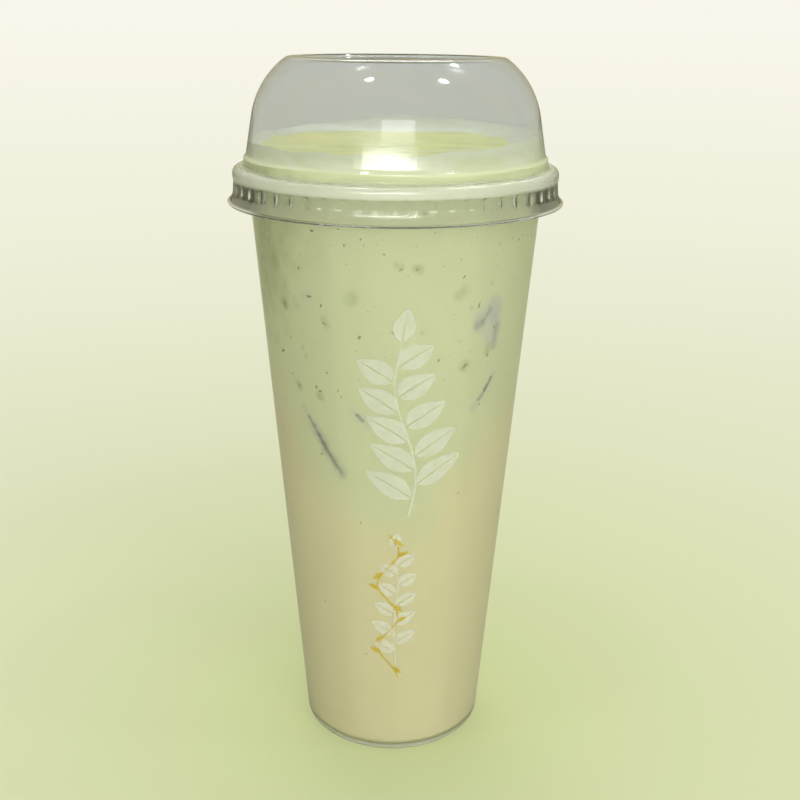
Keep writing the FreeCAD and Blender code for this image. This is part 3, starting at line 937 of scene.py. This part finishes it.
# The cup's rim and foot ring are thicker and cloudier than its wall.
def dressCup():
    dress(clearCup, clearPlastic("cupPlastic", (0.97, 0.975, 0.965, 1), 0.04)[0],
          clearPlastic("cupRimPlastic", (0.96, 0.99, 0.86, 1), 0.28, haze=0.36)[0],
          clearPlastic("cupFootPlastic", (0.8, 0.81, 0.72, 1), 0.25, haze=0.45)[0])
    mesh = clearCup.data
    centres = np.empty(len(mesh.polygons) * 3)
    mesh.polygons.foreach_get("center", centres)
    x, y, height = centres.reshape(-1, 3).T / mm
    rim = (height > rimBottom - cupFinish["rimDepth"]) & (np.hypot(x, y) > cupFinish["rimFrom"])
    foot = (height > cupFinish["footFrom"]) & (height < cupFinish["footTo"])
    mesh.polygons.foreach_set("material_index", rim.astype(np.int32) + 2 * foot)


dressCup()
dress(domeLid, lidMaterial())
milkyDrink = drinkMaterial()
dress(milkTea, milkyDrink)
dress(pistachioLayer, milkyDrink)
dress(creamDish, creamMaterial())
dress(saucePool, sauceMaterial())
dress(nutCrumbs, crumbMaterial())
dress(whitePrint, inkMaterial("whiteInk", seen(232, 235, 224), seen(224, 228, 212), 0.34))
dress(goldPrint, inkMaterial("goldInk", seen(208, 184, 36), seen(196, 170, 28), 1.0))
print("finishes made")


stage = {
    "radii": (200.0, 1500.0, 40000.0), "columns": 96, "near": seen(205, 215, 152), "far": seen(249, 246, 235),
    "depth": 315.0, "duller": 0.22, "evenBand": (60.0, 900.0), "leastEven": 0.5, "bounce": (0.4, 0.39, 0.26, 1),
    "light": (1.0, 1.0, 0.87, 1), "ambient": 0.47, "room": seen(178, 172, 132),
    "lampDistance": 1500.0, "lampAim": 185.0,
}


# What looks straight at the floor, or through something clear, sees a green that pales with distance:
# share = depth / (depth + distance). It turns from lit to even light far off, so no horizon shows. Other
# light meets a duller floor.
def makeFloor():
    columns = stage["columns"]
    angles = evenAngles(columns)
    radii = np.array(stage["radii"])[:, None]
    places = np.stack([radii * np.cos(angles), radii * np.sin(angles), 0 * radii * angles], -1).reshape(-1, 3)
    mesh = bpy.data.meshes.new("floor")
    outer = gridFaces(len(radii), columns, True)[:, ::-1]
    mesh.from_pydata((places * mm).tolist(), [], [list(range(columns))] + outer.tolist())
    floor = newObject("floor", mesh)
    material, tree, shader = newMaterial("paleFloor", {"Roughness": 0.9, "Specular IOR Level": 0.0})
    away = vector(tree, "DISTANCE", objectPlace(tree), (0, 0, 0))
    share = maths(tree, "DIVIDE", stage["depth"] * mm, maths(tree, "ADD", away, stage["depth"] * mm))
    colour = mixed(tree, share, stage["far"], stage["near"])
    plug(tree, mixed(tree, stage["duller"], colour, (0, 0, 0, 1)), shader.inputs["Base Color"])
    glow = addNode(tree, "Emission", {"Color": colour}).outputs[0]
    even = banded(tree, away, stage["evenBand"], stage["leastEven"])
    pale = blended(tree, even, shader.outputs[0], glow)
    dull = addNode(tree, "BsdfDiffuse", {"Color": stage["bounce"]}).outputs[0]
    whole = blended(tree, looking(tree), dull, pale)
    plug(tree, whole, tree.nodes["Material Output"].inputs["Surface"])
    dress(floor, material)


# 1 for what the camera sees, straight or through something clear, and 0 for other light.
def looking(tree):
    path = addNode(tree, "LightPath").outputs
    return maths(tree, "ADD", path["Is Camera Ray"], path["Is Transmission Ray"], clamp=True)


# Even light from all round, a beige room in reflections, and a pale backdrop where it is looked at.
def makeWorld():
    world = bpy.data.worlds.new("studio")
    bpy.context.scene.world = world
    world.use_nodes = True
    tree = world.node_tree
    light = tree.nodes["Background"]
    light.inputs["Color"].default_value = stage["light"]
    light.inputs["Strength"].default_value = stage["ambient"]
    room = addNode(tree, "Background", {"Color": stage["room"], "Strength": 1.0}).outputs[0]
    backdrop = addNode(tree, "Background", {"Color": stage["far"], "Strength": 1.0}).outputs[0]
    reflected = addNode(tree, "LightPath").outputs["Is Glossy Ray"]
    unseen = blended(tree, reflected, light.outputs[0], room)
    whole = blended(tree, looking(tree), unseen, backdrop)
    plug(tree, whole, tree.nodes["World Output"].inputs["Surface"])


# A flat lamp that faces the cup, at a front angle and an elevation seen from it. Its power is
# radiance * area * pi. A plain one isn't reflected.
def addLamp(name, turn, lift, size, radiance, shape="RECTANGLE", plain=False):
    light = bpy.data.lights.new(name, "AREA")
    light.shape = shape
    light.size, light.size_y = size[0] * mm, size[1] * mm
    area = size[0] * size[1] * mm * mm * (math.pi / 4 if shape == "ELLIPSE" else 1)
    light.energy = radiance * area * math.pi
    lamp = newObject(name, light)
    turn, lift = math.radians(turn), math.radians(lift)
    away = np.array([math.sin(turn) * math.cos(lift), -math.cos(turn) * math.cos(lift), math.sin(lift)])
    lamp.location = (away * stage["lampDistance"] + [0, 0, stage["lampAim"]]) * mm
    lamp.rotation_euler = (math.pi / 2 - lift, 0, turn)
    lamp.visible_glossy = lamp.visible_transmission = not plain


# Level with the crown, looking down, turned a little aside and leaning slightly.
view = {"distance": 315.5, "height": 215.6, "pitch": 19.02, "yaw": 0.326, "roll": 0.5,
        "lens": 49.01, "sensor": 36.0}


def addCamera():
    data = bpy.data.cameras.new("camera")
    data.lens = view["lens"]
    data.sensor_width = view["sensor"]
    data.clip_start = 0.01
    data.clip_end = 200
    camera = newObject("camera", data)
    camera.location = (0, -view["distance"] * mm, view["height"] * mm)
    yaw, tilt = Matrix.Rotation(-math.radians(view["yaw"]), 3, "Z"), math.radians(90 - view["pitch"])
    roll = Matrix.Rotation(math.radians(view["roll"]), 3, "Z")
    camera.rotation_euler = (yaw @ Matrix.Rotation(tilt, 3, "X") @ roll).to_euler()
    bpy.context.scene.camera = camera


makeFloor()
makeWorld()
addLamp("frontWindow", 1.4, 19.2, (660, 255), 2.4)
addLamp("frontGlow", -5, 11.3, (1080, 108), 10.0)
addLamp("frontHalo", -5, 11.3, (1400, 104), 3.0)
addLamp("rightKey", 28, 34, (1000, 800), 4.1, plain=True)
addLamp("topSoft", 180, 62, (1000, 800), 2.6, plain=True)
addLamp("topStrip", 180, 48, (700, 36), 16.0)
addLamp("backFill", -165, 24, (1000, 800), 2.4, plain=True)
addLamp("spotLeft", -51, 71, (110, 150), 36.0, "ELLIPSE")
addLamp("spotRight", 72, 63, (110, 150), 36.0, "ELLIPSE")
addLamp("spotBack", 131, 59, (140, 70), 22.0, "ELLIPSE")
addCamera()
bpy.context.scene.view_settings.view_transform = "Standard"
print("stage made")
